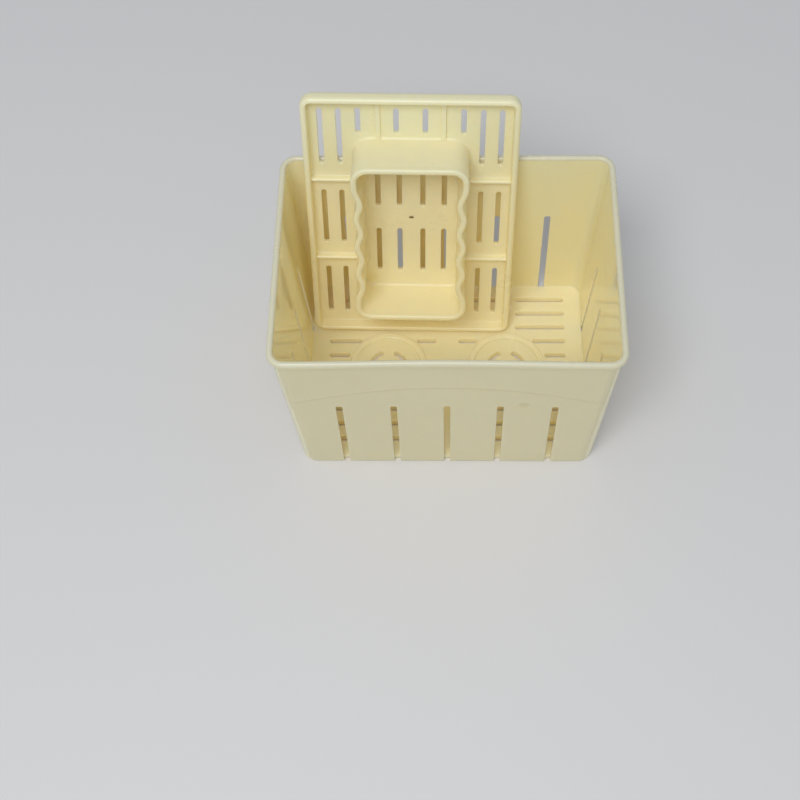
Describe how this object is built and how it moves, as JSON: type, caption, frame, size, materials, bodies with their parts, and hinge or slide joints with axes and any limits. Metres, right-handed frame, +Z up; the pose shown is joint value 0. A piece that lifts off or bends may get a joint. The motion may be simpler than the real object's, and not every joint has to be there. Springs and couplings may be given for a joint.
{
  "type": "cheese mold",
  "caption": "Open tapered rectangular press mold with slotted walls and floor, and a loose slotted follower plate with a loop grip that stands leaning on the rim.",
  "frame": {"origin": "centre of the box's flat underside, on the surface the box stands on", "axes": "+Z up; X along the long side of the box; +Y towards the long wall that the follower leans on"},
  "size_m": [0.13, 0.0994, 0.1226],
  "materials": {
    "box_plastic": "cream moulded polypropylene, satin outside and glossy inside",
    "follower_plastic": "cream moulded polypropylene, satin"
  },
  "bodies": {
    "mould": {"mould_box": "box_plastic"},
    "follower": {"press_plate": "follower_plastic"}
  },
  "joints": [
    {"name": "press_plate_lift", "type": "slide", "parent": "mould", "child": "follower", "axis": [0, 0, 1], "range_m": [0, 0.1]}
  ]
}
